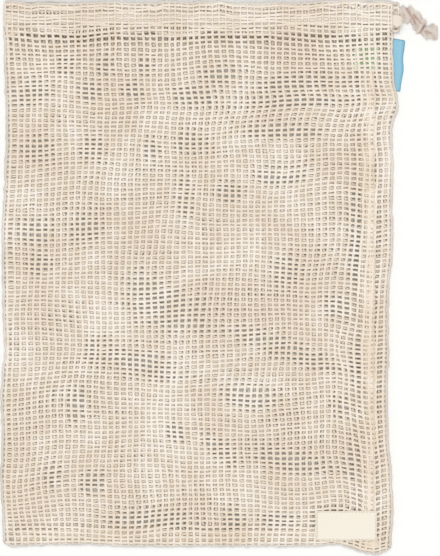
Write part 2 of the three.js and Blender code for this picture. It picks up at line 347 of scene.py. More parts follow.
def strandMesh(runs, section, rng, uneven, finish):
    # Every run of points becomes one closed strand with that section, thicker here and thinner there.
    # Finish is the number of the strands' material in their piece.
    curve = bpy.data.curves.new("strands", "CURVE")
    curve.dimensions = "3D"
    curve.fill_mode = "FULL"
    curve.use_fill_caps = True
    curve.twist_mode = "Z_UP"
    curve.bevel_mode = "OBJECT"
    curve.bevel_object = section
    for run in runs:
        spline = curve.splines.new("POLY")
        spline.points.add(len(run) - 1)
        spline.points.foreach_set("co", np.column_stack([run * mm, np.ones(len(run))]).ravel())
        spline.points.foreach_set("radius", rng.uniform(1 - uneven, 1 + uneven, len(run)))
    holder = bpy.data.objects.new("strands", curve)
    scene.collection.objects.link(holder)
    drawn = holder.evaluated_get(bpy.context.evaluated_depsgraph_get())
    mesh = bpy.data.meshes.new_from_object(drawn)
    mesh.polygons.foreach_set("material_index", np.full(len(mesh.polygons), finish, dtype=np.int32))
    bpy.data.objects.remove(holder)
    bpy.data.curves.remove(curve)
    return mesh


def joinMeshes(name, meshes):
    # One mesh of all the strands, with each end cap welded to its strand
    work = bmesh.new()
    for mesh in meshes:
        work.from_mesh(mesh)
        bpy.data.meshes.remove(mesh)
    bmesh.ops.remove_doubles(work, verts=work.verts, dist=weldGap)
    joined = bpy.data.meshes.new(name)
    work.to_mesh(joined)
    work.free()
    return joined


def strandPiece(name, groups, rng, uneven, *materials):
    # A piece of strands: each group has its runs, their section and their material's number
    meshes = [strandMesh(runs, section, rng, uneven, finish) for runs, section, finish in groups]
    return linkPiece(name, joinMeshes(name, meshes), *materials)


def gridMesh(name, columns, rows, place, reach=None, marks=None):
    # A grid whose points are moved by place(share along X, share along Y). Its UVs run from 0 to 1, along X
    # by reach where the columns aren't evenly spaced. Marks are attributes worked out at each point.
    marks = marks or {}
    work = bmesh.new()
    uv = work.loops.layers.uv.new("UVMap")
    layers = {mark: work.verts.layers.float.new(mark) for mark in marks}
    bmesh.ops.create_grid(work, x_segments=columns, y_segments=rows, size=1.0, calc_uvs=True)
    for vert in work.verts:
        shares = ((vert.co.x + 1) / 2, (vert.co.y + 1) / 2)
        for mark, valueAt in marks.items():
            vert[layers[mark]] = valueAt(*shares)
        vert.co = Vector(place(*shares)) * mm
    if reach is not None:
        for loop in (loop for face in work.faces for loop in face.loops):
            loop[uv].uv.x = reach[round(loop[uv].uv.x * columns)]
    bmesh.ops.recalc_face_normals(work, faces=work.faces)
    mesh = bpy.data.meshes.new(name)
    work.to_mesh(mesh)
    work.free()
    return mesh


def thicken(piece, thickness):
    # Gives a flat cloth two faces and soft rims
    solid = piece.modifiers.new("cloth", "SOLIDIFY")
    solid.thickness = thickness * mm
    solid.offset = 0.0
    soft = piece.modifiers.new("soft", "SUBSURF")
    soft.levels = 1
    soft.render_levels = 1


stitchShape = {"along": (0, 0.2, 0.5, 0.8, 1.0), "lift": (-0.6, 0.7, 1.0, 0.7, -0.6)}  # in shares


def stitchRuns(line, stitch):
    # Short raised stitches along a line of points
    reach = reachAlong(line)
    length = stitch["length"]
    runs = []
    for start in np.arange(0, reach[-1] - length, length + stitch["gap"]):
        at = start + length * np.array(stitchShape["along"])
        run = np.column_stack([np.interp(at, reach, line[:, axis]) for axis in range(3)])
        run[:, 2] += stitch["lift"] * np.array(stitchShape["lift"])
        runs.append(run)
    return runs


# The drawstring: one soft tape round the hem, with both ends out at the right
mouthTurn = {"x": -148.45, "radius": 3.9, "height": 5.55}  # round the folded left edge, for tape and hem
tape = {
    "thickness": 0.7, "width": 8.0, "middleY": 201.3,
    "runEnd": 148.0,  # X where the free ends begin
    "runSteps": 40, "turnSteps": 10, "endSteps": 6, "acrossSteps": 12,
    "foldedEnd": [  # x, y, z, width
        (150.5, 199.4, 5.2, 8.0), (154.5, 199.2, 5.0, 9.0), (157.5, 199.3, 5.1, 9.2),
        (160.2, 199.7, 5.8, 7.0), (161.6, 200.0, 7.2, 4.0), (160.2, 199.9, 8.6, 7.2),
        (157.3, 199.5, 9.4, 9.6), (153.5, 200.6, 9.4, 8.0),
    ],
    "freeEnd": [  # both edges and the height: lowX, lowY, highX, highY, z
        (154.0, 199.0, 154.0, 208.2, 1.65), (159.6, 200.3, 159.6, 211.0, 1.65),
        (163.5, 199.1, 162.7, 212.5, 1.5), (168.7, 198.6, 168.3, 212.0, 1.4),
        (169.9, 197.7, 173.8, 208.7, 1.4), (170.4, 195.0, 178.5, 204.1, 1.3),
        (172.6, 191.3, 181.8, 199.9, 1.2), (176.1, 190.5, 180.4, 196.2, 1.2),
        (179.7, 187.1, 181.6, 195.7, 1.1), (184.5, 185.8, 185.0, 198.6, 0.9),
        (190.5, 185.0, 190.5, 197.5, 0.7),
    ],
    "looseFrom": 158.0, "looseReach": 6.0,  # X where the free end crumples
    "cutEndFrom": 146.0, "cutEndReach": 8.0,  # X where it turns greyer
    "loft": 1.3, "lowest": 0.45,  # rise of the crumpled end, least height
    "pleats": 1.5, "pleat": 0.85, "pleatLength": 14.0,
    "ripple": 0.6, "rippleLength": 5.2, "rippleSlant": 4.0,
    "scallop": 0.13, "scallopLength": 6.0,  # drawn-in edges: share of the width, mm
    "scallopBase": 0.7, "sideLag": 0.3,  # their mean depth, lag of one side in turns
    "hollowShade": 0.45,  # share of the painted shade in the low parts of the crumple
}
tapeCreases = [  # deep folds across the free end
    {"start": (165.3, 211.5), "end": (172.9, 198.0), "halfWidth": 0.9, "depth": 1.6},
    {"start": (180.4, 197.0), "end": (175.6, 190.4), "halfWidth": 0.8, "depth": 1.4},
    {"start": (171.0, 205.5), "end": (177.0, 198.5), "halfWidth": 0.7, "depth": 0.8},
    {"start": (180.5, 192.5), "end": (185.5, 190.5), "halfWidth": 0.7, "depth": 0.7},
]


def tapeRun():
    # The tape in the hem: along the front, round the folded edge, back underneath
    frontX = np.linspace(tape["runEnd"], mouthTurn["x"], tape["runSteps"], endpoint=False)
    angle = np.linspace(0, math.pi, tape["turnSteps"])
    backX = np.linspace(mouthTurn["x"], tape["runEnd"], tape["runSteps"] + 1)[1:]
    x = np.concatenate([frontX, mouthTurn["x"] - mouthTurn["radius"] * np.sin(angle), backX])
    z = mouthTurn["height"] + mouthTurn["radius"] * np.concatenate([
        np.ones(len(frontX)), np.cos(angle), -np.ones(len(backX)),
    ])
    return np.column_stack([x, np.full(len(x), tape["middleY"]), z, np.full(len(x), tape["width"])])


def tapeLay():
    # The whole tape from its tucked end to its cut end: both edges, how loosely it lies, how far along each
    # step is, and the step where it turns back to the cut end
    run = tapeRun()
    folded = smoothRun(tape["foldedEnd"] + [tuple(run[0])], tape["endSteps"])[:-1]
    x, y, z, width = run[-1]
    lastInHem = (x, y - width / 2, x, y + width / 2, z)
    free = smoothRun([lastInHem] + tape["freeEnd"], tape["endSteps"])[1:]
    inHem = np.vstack([folded, run])
    half = np.zeros((len(inHem), 3))
    half[:, 1] = inHem[:, 3] / 2
    low = np.vstack([inHem[:, :3] - half, free[:, [0, 1, 4]]])
    high = np.vstack([inHem[:, :3] + half, free[:, [2, 3, 4]]])
    loose = easeIn((free[:, 0] + free[:, 2]) / 2 - tape["looseFrom"], tape["looseReach"])
    return {
        "low": low, "high": high, "loose": np.concatenate([np.zeros(len(inHem)), loose]),
        "reach": reachAlong((low + high) / 2), "hemEnd": len(inHem) - tape["runSteps"],
    }


def creaseShare(point, crease):
    # 1 on the line of a crease, falling off to its sides and past its ends
    off = point[:2] - np.array(crease["start"])
    way = np.array(crease["end"]) - np.array(crease["start"])
    share = np.clip(off @ way / (way @ way), 0, 1)
    return math.exp(-(np.linalg.norm(off - share * way) / crease["halfWidth"]) ** 2)


def tapePoint(lay, at, across):
    # A point of the tape before it is crumpled, with the edges drawn in where it lies loose
    side = tape["sideLag"] if across > 0.5 else 0.0
    lobe = math.sin(fullTurn * (lay["reach"][at] / tape["scallopLength"] + side))
    drawnIn = tape["scallop"] * lay["loose"][at] * (tape["scallopBase"] - lobe)
    share = 0.5 + (across - 0.5) * (1 - drawnIn)
    return lay["low"][at] + share * (lay["high"][at] - lay["low"][at])


def tapeCrumple(lay, at, across):
    reach = lay["reach"][at]
    pleat = math.sin(fullTurn * (tape["pleats"] * across + reach / tape["pleatLength"]))
    ripple = math.sin(fullTurn * reach / tape["rippleLength"] + tape["rippleSlant"] * across)
    return tape["pleat"] * pleat + tape["ripple"] * ripple


def crumpledPoint(lay, at, across):
    point = tapePoint(lay, at, across)
    loose = lay["loose"][at]
    if loose:
        fold = sum(crease["depth"] * creaseShare(point, crease) for crease in tapeCreases)
        height = point[2] + loose * (tape["loft"] + tapeCrumple(lay, at, across) - fold)
        point[2] = max(height, tape["lowest"])
    return point


def cutEndGreyShare(lay, at, across):
    # Share of the greyer colour, on the cut end alone
    if at <= lay["hemEnd"]:
        return 0.0
    return easeIn(lay["low"][at][0] - tape["cutEndFrom"], tape["cutEndReach"])


def creaseShadeShare(lay, at, across):
    # Share of the painted shade: full in the creases, less in the low parts of the crumple
    point = tapePoint(lay, at, across)
    hollow = max(-tapeCrumple(lay, at, across), 0) / (tape["pleat"] + tape["ripple"])
    creased = max(creaseShare(point, crease) for crease in tapeCreases)
    return lay["loose"][at] * max(tape["hollowShade"] * hollow, creased)


def makeDrawstring():
    lay = tapeLay()
    last = len(lay["low"]) - 1

    def onTape(valueAt):
        return lambda alongShare, acrossShare: valueAt(lay, round(alongShare * last), acrossShare)

    middle = np.array([crumpledPoint(lay, at, 0.5) for at in range(last + 1)])
    length = reachAlong(middle)[-1]
    # The crease mark carries the painted shade of the creases
    marks = {"cut_end_grey": onTape(cutEndGreyShare), "crease": onTape(creaseShadeShare)}
    reachShares = lay["reach"] / lay["reach"][-1]
    mesh = gridMesh("drawstring_tape", last, tape["acrossSteps"], onTape(crumpledPoint), reachShares, marks)
    material = wovenTape("soft_plain_woven_cotton_tape", tapeLook, length, tape["width"])
    piece = linkPiece("drawstring_tape", mesh, material)
    thicken(piece, tape["thickness"])
    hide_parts("drawstring")
    print("drawstring made,", round(length), "mm")


makeDrawstring()


# The pouch: a leno net in two layers, laid over the CAD cloth
rayStart = {"plumb": 100.0, "level": 300.0}  # mm from the origin, well outside the bag


def surfaceTree(nodeName):
    return BVHTree.FromObject(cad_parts[nodeName], bpy.context.evaluated_depsgraph_get())


def castRay(tree, start, way):
    hit = tree.ray_cast(Vector(start) * mm, Vector(way))[0]
    return None if hit is None else hit / mm


def plumbRay(tree, x, y, way):
    # Where a plumb line meets a surface on its way up (1) or down (-1)
    return castRay(tree, (x, y, -rayStart["plumb"] * way), (0, 0, way))


def heightsOn(tree, x, y, way, missed):
    found = []
    for at in zip(np.ravel(x), np.ravel(y)):
        hit = plumbRay(tree, *at, way)
        found.append(missed if hit is None else hit.z)
    return np.array(found).reshape(np.shape(x))


pouch = {
    "ribs": 58, "rows": 107,
    "ribPitch": 5.25, "rowPitch": 3.87,  # of the net where nothing crowds it
    "foot": 197.4, "topInset": 0.3,  # Y where the net ends, under the hem's outer layer
    "clothEnd": 193.8,  # Y up to which the CAD cloth gives its height
    "middleHeight": 3.4,  # half the height of the CAD cloth
    "layHeight": 2.9, "layShare": 0.19,  # middle of both layers, share of the CAD cloth's gap
    "layerGap": 1.3,  # between the middles of both layers
    "riseFrom": 181.0, "riseReach": 12.0,  # Y where the layers part towards the hem
    "hemDepth": 1.2,  # from the cloth's outside to the yarns, at the hem
    "edgeRays": 120, "edgeRaysX": (-149, 149), "edgeRaysY": (-212, 193.5),
    "edgeInset": 0.6, "edgeRound": 1.7, "edgeWobble": 0.35, "edgeTwist": 0.5,
    "edgeHoldX": 0.03, "edgeHoldY": 0.02,  # shares over which an edge holds the net
    # slack of two edges: place along the edge, half length, mm to +X or +Y
    "rightBulges": [(134.0, 10.5, 3.6), (88.0, 16.0, 1.8)],
    "bottomBulges": [(-100.0, 30.0, 1.5), (112.0, 13.0, 3.0), (138.0, 9.0, -1.6)],
    "mostLined": 0.86,  # how fully the holes fall together, where they do
    "frontStrips": (0, 19, 39, 58), "backStrips": (0, 29, 58), "frontRibSides": 6, "backRibSides": 4,
    "wander": 0.22, "jitter": 0.09, "weftBend": 0.18, "seed": 11,
}
netYarn = {
    "ribHalfWidth": 0.98, "ribHalfThickness": 0.44, "ribLift": 0.28, "crossSway": 0.62, "groundSway": 0.48,
    "weftHalfWidth": 1.02, "weftHalfThickness": 0.32, "uneven": 0.16,
}
thinYarn = {
    "ribHalfWidth": 0.74, "ribHalfThickness": 0.42, "ribLift": 0.26, "crossSway": 0.6, "groundSway": 0.45,
    "weftHalfWidth": 1.12, "weftHalfThickness": 0.3, "uneven": 0.16,
}
ribSink = 0.7  # sinking between two wefts, as a share of ribLift
wanderReach = 7  # crossings that smooth a strand's slow unevenness
weftSides = 6
thinRibSides = 4
threadYarn = {"halfWidth": 0.3, "halfThickness": 0.22, "sides": 4}
threadSection = yarnSection("thread_section", **threadYarn)


def yarnSections(yarn, ribSides):
    return (
        yarnSection("rib_section", yarn["ribHalfWidth"], yarn["ribHalfThickness"], ribSides),
        yarnSection("weft_section", yarn["weftHalfWidth"], yarn["weftHalfThickness"], weftSides),
    )


frontWaves = [  # slow wander of the front net: move in X and Y, wave length in X and Y, phase
    (1.0, 0.0, 140, 330, 0.4), (0.6, 0.0, -75, 120, 2.1), (0.0, 1.2, 210, 190, 1.2),
    (0.0, 0.7, -110, 85, 3.0), (0.35, 0.0, 160, -74, 0.9), (0.0, 0.3, 66, 240, 2.4),
]
frontKinks = [  # where the front net is pushed aside: middle, half sizes, move in X and Y
    (118, -55, 13, 17, -3.2, 0.0), (127, -135, 11, 26, 2.6, 0.8), (112, 120, 16, 20, 1.4, -1.0),
    (-120, 178, 22, 14, 0.0, -1.2), (30, -20, 40, 22, 0.8, 1.2), (152, 128, 38, 28, 0.0, 5.0),
    (118, 158, 30, 26, 2.2, 0.0), (-152, -168, 20, 26, 0.0, -3.5), (-112, -172, 22, 30, -2.0, 0.0),
]
linedUp = [  # where the holes of both layers fall together: middle, half sizes, tilt in degrees
    (-106, 164, 8, 10, 0), (-75, 164, 9, 10, 0), (-43, 163, 9, 10, 0), (14, 156, 15, 8, -12),
    (-130, 143, 16, 11, 0), (-87, 143, 12, 11, 0), (-53, 143, 11, 11, -10), (-6, 141, 18, 10, -10),
    (86, 150, 55, 6, 1), (81, 136, 50, 6, 2), (65, 111, 32, 6, 0), (-128, 98, 16, 11, 0),
    (-85, 98, 11, 12, 0), (-38, 98, 9, 11, 0), (-8, 103, 14, 11, 0), (65, 78, 24, 10, 6),
    (-11, 58, 8, 22, 0), (24, 64, 13, 11, 0), (-131, 32, 15, 12, 0), (-127, 6, 12, 13, 0),
    (-89, 35, 12, 13, 0), (69, 1, 17, 17, 0), (109, -28, 15, 13, -25), (124, 22, 7, 48, 0),
    (124, -68, 7, 29, 0), (-30, -25, 42, 17, -25), (-77, -62, 18, 14, 0), (-45, -72, 36, 11, -17),
    (71, -62, 50, 11, -21), (41, -99, 27, 11, -9), (-98, -105, 10, 17, 0), (111, -105, 8, 13, 0),
    (-19, -126, 9, 11, 0), (15, -139, 19, 8, -42), (71, -149, 30, 8, -11), (119, -152, 9, 16, 0),
    (-85, -167, 10, 12, 0), (-116, -161, 9, 10, 0), (-38, -194, 36, 8, 0), (26, -194, 9, 11, 0),
    (63, -195, 18, 6, 0),
]
backShifts = [  # for columns and rows: shift that fills the holes, its sway, the sway's reach in X and Y
    (0.5, 0.1, 31, 47), (0.48, 0.14, -39, 23),
]
lifts = [  # where things under the front net raise it: from and to X, from and to Y, rise
    (128, 142, -210, 200, 1.55),  # side seam
    (-146, 146, -220, -202, 1.55),  # bottom seam
    (94, 142, -211, -187, 1.85),  # room under the patch label
    (130, 143, 162, 180, 2.8),  # inner label
]
liftSoft = 5.0  # mm over which the net comes down again


def liftShare(place, start, end):
    return easeIn(place - start + liftSoft, liftSoft) * easeIn(end + liftSoft - place, liftSoft)


def frontLift(x, y):
    height = np.zeros_like(x)
    for fromX, toX, fromY, toY, rise in lifts:
        height = np.maximum(height, rise * liftShare(x, fromX, toX) * liftShare(y, fromY, toY))
    return height


def pouchOutline(tree):
    # Side and bottom edges: those of the CAD cloth, found by level rays at half its height, with their slack
    middle = pouch["middleHeight"]
    far = rayStart["level"]
    y = np.linspace(*pouch["edgeRaysY"], pouch["edgeRays"])
    x = np.linspace(*pouch["edgeRaysX"], pouch["edgeRays"])
    left = np.array([castRay(tree, (-far, at, middle), (1, 0, 0)).x for at in y])
    right = np.array([castRay(tree, (far, at, middle), (-1, 0, 0)).x for at in y])
    bottom = np.array([castRay(tree, (at, -far, middle), (0, 1, 0)).y for at in x])
    return {
        "y": y, "left": left, "right": right + bulge(y, pouch["rightBulges"]),
        "x": x, "bottom": bottom + bulge(x, pouch["bottomBulges"]),
    }


def pouchPlan(outline, across, along):
    # Plan of the cloth: shares across and along the bag to X and Y
    inset = pouch["edgeInset"]
    roughX = np.interp(across, (0, 1), (outline["left"].mean(), outline["right"].mean()))
    low = np.interp(roughX, outline["x"], outline["bottom"]) + inset
    y = low + along * (pouch["foot"] - low)
    left = np.interp(y, outline["y"], outline["left"]) + inset
    right = np.interp(y, outline["y"], outline["right"]) - inset
    return left + across * (right - left), y


def edgeHolds(across, along):
    # Shares of any move in X and in Y: 0 on the edge that the move would leave, 1 inside
    return easeIn(np.minimum(across, 1 - across), pouch["edgeHoldX"]), easeIn(along, pouch["edgeHoldY"])


def frontPlan(outline, across, along):
    x, y = pouchPlan(outline, across, along)
    holdX, holdY = edgeHolds(across, along)
    shiftX = np.zeros_like(x)
    shiftY = np.zeros_like(x)
    for moveX, moveY, lengthX, lengthY, phase in frontWaves:
        swing = np.sin(fullTurn * (x / lengthX + y / lengthY) + phase)
        shiftX += moveX * swing
        shiftY += moveY * swing
    for middleX, middleY, halfX, halfY, moveX, moveY in frontKinks:
        push = np.exp(-((x - middleX) / halfX) ** 2 - ((y - middleY) / halfY) ** 2)
        shiftX += moveX * push
        shiftY += moveY * push
    return x + holdX * shiftX, y + holdY * shiftY


def backShift(x, y):
    # How far the back net is off the front one, in shares of a mesh: 0 lines up, a half fills the holes
    lined = np.zeros_like(x)
    for middleX, middleY, halfX, halfY, tilt in linedUp:
        turn = math.radians(tilt)
        offX = x - middleX
        offY = y - middleY
        u = (offX * math.cos(turn) + offY * math.sin(turn)) / halfX
        v = (offY * math.cos(turn) - offX * math.sin(turn)) / halfY
        lined = np.maximum(lined, pouch["mostLined"] / (1 + (u * u + v * v) ** 2))
    return [
        (1 - lined) * (shift + sway * np.sin(x / reachX + y / reachY))
        for shift, sway, reachX, reachY in backShifts
    ]


def wander(rng, shape, axis, slow, quick):
    # Small unevenness along each strand: a slow, smooth part and a quick one
    rough = rng.normal(size=shape)
    reach = min(wanderReach, rough.shape[axis])
    window = np.hanning(reach + 2)[1:-1]
    window /= np.sqrt((window ** 2).sum())
    smooth = np.apply_along_axis(np.convolve, axis, rough, window, "same")
    return slow * smooth + quick * rng.normal(size=shape)


def layerCrossings(x, y, tree, outward):
    # The layers lie flatter than the CAD cloth and part only towards the hem
    inCloth = np.minimum(y, pouch["clothEnd"])
    surface = heightsOn(tree, x, inCloth, -outward, pouch["middleHeight"])
    lying = pouch["layHeight"] + pouch["layShare"] * (surface - pouch["middleHeight"])
    if outward > 0:
        lying += frontLift(x, y)
    raised = surface - outward * pouch["hemDepth"]
    rise = easeIn(y - pouch["riseFrom"], pouch["riseReach"])
    return np.stack([x, y, lying + rise * (raised - lying)], axis=-1)


def edgeRun(tree, x, y, outward, inX, inY):
    # A strand's way in from the edge: one point at half height, one on the slope
    level = np.stack([x, y, np.full_like(x, pouch["middleHeight"])], axis=-1)
    return np.stack([level, layerCrossings(x + inX, y + inY, tree, outward)], axis=1)


def makeLayer(tree, outline, outward, x, y, edgeY):
    # Crossings of one layer, and how its strands end at the edges and at the hem
    inset = pouch["edgeInset"]
    turnIn = pouch["edgeRound"]
    left = np.interp(edgeY[0], outline["y"], outline["left"]) + inset
    right = np.interp(edgeY[1], outline["y"], outline["right"]) - inset
    bottom = np.interp(x[:, 0], outline["x"], outline["bottom"]) + inset
    topY = np.full(len(x), pouch["foot"] - pouch["topInset"])
    return {
        "cross": layerCrossings(x, y, tree, outward), "outward": outward,
        "bottom": edgeRun(tree, x[:, 0], bottom, outward, 0, turnIn),
        "top": layerCrossings(x[:, -1], topY, tree, outward)[:, None],
        "left": edgeRun(tree, left, edgeY[0], outward, turnIn, 0),
        "right": edgeRun(tree, right, edgeY[1], outward, -turnIn, 0)[:, ::-1],
    }


def halfway(nodes):
    # The crossings with a point half way between each two
    run = np.empty((2 * len(nodes) - 1, 3))
    run[0::2] = nodes
    run[1::2] = (nodes[:-1] + nodes[1:]) / 2
    return run


def ribRuns(nodes, outward, yarn, before=(), after=(), side=(1.0, 0.0, 0.0)):
    # One rib: a crossing yarn swings round a ground yarn, and the two hold each weft between them
    run = halfway(nodes)
    steps = np.arange(len(run))
    atWeft = steps % 2 == 0
    swing = np.where(atWeft, np.where(steps % 4 == 0, 1.0, -1.0), 0.0)[:, None]
    lift = np.where(atWeft, yarn["ribLift"], -ribSink * yarn["ribLift"])[:, None]
    side = np.array(side)
    if np.ndim(outward) > 1:
        outward = halfway(outward)
    crossing = run + swing * yarn["crossSway"] * side + lift * outward
    ground = run - swing * yarn["groundSway"] * side - lift * outward
    return [np.vstack([*before, strand, *after]) for strand in (crossing, ground)]


def edgeStrands(layer, first, last, rng):
    # The strands that lie on the very edge: a rib along each side fold, a yarn along the bottom
    outX = np.array([1.0, 0.0, 0.0])
    wobble = rng.normal(scale=pouch["edgeWobble"], size=(len(layer["left"]), 1)) * outX
    twist = pouch["edgeTwist"] * outX
    strands = []
    if first == 0:
        strands += ribRuns(layer["left"][:, 0] + wobble, -twist, netYarn, side=upward)
    if last == len(layer["cross"]):
        strands += ribRuns(layer["right"][:, -1] + wobble, twist, netYarn, side=upward)
    bottom = halfway(layer["bottom"][first:last + 1, 0])
    bottom[:, 1] += rng.normal(scale=pouch["edgeWobble"], size=len(bottom))
    return strands + [bottom]


def netStrip(name, layer, first, last, sections, rng):
    # A strip of net: its ribs, and its wefts from the first rib to the next strip's first rib
    cross = layer["cross"]
    isFront = layer["outward"] > 0
    ribs = []
    for at in range(first, last):
        ends = [[layer[end][at]] for end in ("bottom", "top")]
        ribs += ribRuns(cross[at], layer["outward"] * upward, netYarn, *ends)
    edges = edgeStrands(layer, first, last, rng) if isFront else []
    wefts = []
    for row in range(cross.shape[1]):
        run = cross[first:last + 1, row]
        if isFront:
            run = halfway(run)
            run[1::2, 1] += rng.normal(scale=pouch["weftBend"], size=len(run) // 2)
        if first == 0:
            run = np.vstack([layer["left"][row], run])
        if last == len(cross):
            run = np.vstack([run, layer["right"][row]])
        wefts.append(run)
    ribSection, weftSection = sections
    # The edge strands take the second material, the yarn with painted edge shade
    groups = ((ribs, ribSection, 0), (wefts, weftSection, 0), (edges, ribSection, 1))
    return strandPiece(name, groups, rng, netYarn["uneven"], netCotton, edgeShadeCotton)


def pouchLayersOn(tree, outline, rng):
    # Both layers of the net, the back one shifted to fill the front's holes or not
    shares = [(np.arange(count) + 0.5) / count for count in (pouch["ribs"], pouch["rows"])]
    across, along = np.meshgrid(*shares, indexing="ij")
    planX, planY = frontPlan(outline, across, along)
    columnShift, rowShift = backShift(planX, planY)
    holdX, holdY = edgeHolds(across, along)
    meshX = np.gradient(planX, axis=0)
    meshY = np.gradient(planY, axis=1)

    def stray(axis):
        return wander(rng, planX.shape, axis, pouch["wander"], pouch["jitter"])

    frontX = planX + stray(1) * holdX
    frontY = planY + stray(0) * holdY
    spread = pouch["layerGap"] / photoView["distance"]  # the back net is seen a little smaller
    backX = planX + (spread * planX + columnShift * meshX + stray(1)) * holdX
    backY = planY + (spread * planY + rowShift * meshY + stray(0)) * holdY
    edgeY = (planY[0], planY[-1])
    return {
        "front": makeLayer(tree, outline, 1, frontX, frontY, edgeY),
        "back": makeLayer(tree, outline, -1, backX, backY, edgeY),
    }


def makePouch():
    tree = surfaceTree("net_pouch")
    outline = pouchOutline(tree)
    rng = np.random.default_rng(pouch["seed"])
    layers = pouchLayersOn(tree, outline, rng)
    for side, restsOn in (("back", []), ("front", ["side_seam_net", "bottom_seam_net"])):
        ends = pouch[side + "Strips"]
        sections = yarnSections(netYarn, pouch[side + "RibSides"])
        for number, (first, last) in enumerate(zip(ends, ends[1:]), 1):
            piece = netStrip(f"net_{side}_{number}", layers[side], first, last, sections, rng)
            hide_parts("net_pouch")
        print("net", side, "made")
    return layers


pouchLayers = makePouch()


# The hem: the same net folded over the tape, outer and turned-in layer in one
hem = {
    "foot": 194.7, "top": 215.0, "frontEnd": 153.0, "backEnd": 159.0,
    "tapeGap": 0.92, "bareGap": 0.55,  # from the hem's middle to a layer, round and above the tape
    "bareFrom": 11.5, "bareReach": 4.0,  # where the tape ends above the foot
    "rows": 6, "rowPitch": 3.4, "turnRibs": 2,
    "firstRow": 1.0, "innerStart": -4.1,  # lowest outer and turned-in row, from the foot
    "overlap": 2.0, "innerOverlap": 1.0,  # of the ribs, past the foot and past the last row
    "wander": 0.55, "jitter": 0.22, "bumps": 0.5, "topJitter": 0.5, "seed": 23,
    "tailDrop": 1.2, "flapDrop": 0.6,  # how far the ribs' tails and the flap sink in
    "flapWave": 1.0, "flapLengths": (47.0, 71.0), "flapReach": 4.0,  # uneven turned-in edge, in mm
    "stitchRise": 0.6, "stitchLift": 0.1,  # of the stitches, from the foot and the outer yarns
    "topRise": [  # X, drop of the mouth edge from its highest place
        (-154, 1.4), (-120, 0.9), (-70, 1.5), (-20, 1.2), (40, 1.6), (85, 1.7), (128, 0.0), (160, 1.2),
    ],
}
hemStitch = {"length": 2.2, "gap": 1.1, "lift": 0.15}


def hemBase():
    # One row for each rib along the hem: X, Z, and the way out of the hem there
    turnX = mouthTurn["x"]
    radius = mouthTurn["radius"]
    height = mouthTurn["height"]
    front = pouchLayers["front"]["cross"][::-1, -1, 0]
    back = pouchLayers["back"]["cross"][:, -1, 0]
    angle = math.pi * (np.arange(hem["turnRibs"]) + 0.5) / hem["turnRibs"]
    rows = [(x, height + radius, 0.0, 1.0) for x in (hem["frontEnd"], *front[front > turnX])]
    for at in angle:
        outX = -math.sin(at)
        outZ = math.cos(at)
        rows.append((turnX + radius * outX, height + radius * outZ, outX, outZ))
    rows += [(x, height - radius, 0.0, -1.0) for x in (*back[back > turnX], hem["backEnd"])]
    return np.array(rows)


def hemRows():
    # Each row's height above the foot, and its side: 1 outer layer, 0 fold, -1 turned-in layer
    outer = hem["firstRow"] + hem["rowPitch"] * np.arange(hem["rows"])
    inner = hem["innerStart"] + hem["rowPitch"] * np.arange(hem["rows"] + 1)[::-1]
    return [(up, 1) for up in outer] + [(hem["top"] - hem["foot"], 0)] + [(up, -1) for up in inner]


def hemGap(up):
    # From the middle of the hem to each layer at a height above the foot
    bare = easeIn(up - hem["bareFrom"], hem["bareReach"])
    flap = easeIn(-up, hem["flapReach"])
    return hem["tapeGap"] + bare * (hem["bareGap"] - hem["tapeGap"]) + hem["flapDrop"] * flap


def hemCrossings(base, rng):
    # Crossings of the outer layer, the fold and the turned-in layer, the last half a mesh aside
    aside = np.vstack([(base[:-1] + base[1:]) / 2, base[-1:]])
    riseX, drop = np.array(hem["topRise"]).T
    top = hem["top"] - np.interp(base[:, 0], riseX, drop)
    top += wander(rng, len(base), 0, hem["bumps"], hem["topJitter"])
    height = (top - hem["foot"]) / (hem["top"] - hem["foot"])
    rows = hemRows()
    cross = np.empty((len(base), len(rows), 3))
    ways = np.empty_like(cross)
    for row, (up, side) in enumerate(rows):
        spot = aside if side < 0 else base
        out = np.column_stack([spot[:, 2], np.zeros(len(base)), spot[:, 3]])
        out /= np.linalg.norm(out, axis=1, keepdims=True)
        cross[:, row] = side * hemGap(up) * out
        cross[:, row, 0] += spot[:, 0]
        cross[:, row, 1] += hem["foot"] + up * height
        cross[:, row, 2] += spot[:, 1]
        if side < 0:
            swing = sum(np.sin(fullTurn * spot[:, 0] / length) for length in hem["flapLengths"])
            cross[:, row, 1] += hem["flapWave"] * swing * easeIn(hem["flapReach"] - up, hem["flapReach"])
        if side:
            cross[:, row, 1] += wander(rng, len(base), 0, hem["wander"], hem["jitter"])
        ways[:, row] = side * out if side else (0.0, 1.0, 0.0)
    return cross, ways


def hemStitches(cross):
    # A line of small stitches along the foot of the front hem
    onFront = cross[cross[:, 0, 2] > mouthTurn["height"] + mouthTurn["radius"], 0]
    line = onFront + np.array([0.0, hem["stitchRise"] - hem["firstRow"], hem["stitchLift"]])
    return stitchRuns(line, hemStitch)


def makeHem():
    rng = np.random.default_rng(hem["seed"])
    cross, ways = hemCrossings(hemBase(), rng)
    foldRow = hem["rows"]
    ribs = []
    for nodes, outward in zip(cross, ways):
        start = nodes[0] - hem["tailDrop"] * outward[0]
        start[1] = hem["foot"] - hem["overlap"]
        end = nodes[-1] - np.array((0.0, hem["innerOverlap"], 0.0))
        ribs += ribRuns(nodes, outward, thinYarn, [start], [end])
    wefts = [halfway(cross[:, row]) for row in range(cross.shape[1])]
    fold = wefts.pop(foldRow)
    ribSection, weftSection = yarnSections(thinYarn, thinRibSides)
    groups = (
        # The fold weft takes the second material, the yarn with painted edge shade
        (ribs, ribSection, 0), (wefts, weftSection, 0), ([fold], weftSection, 1),
        (hemStitches(cross), threadSection, 2),
    )
    piece = strandPiece("hem_net", groups, rng, thinYarn["uneven"], netCotton, edgeShadeCotton, sewingThread)
    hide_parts("drawstring_casing")
    around = reachAlong(cross[:, foldRow])[-1]
    print("hem made")


makeHem()


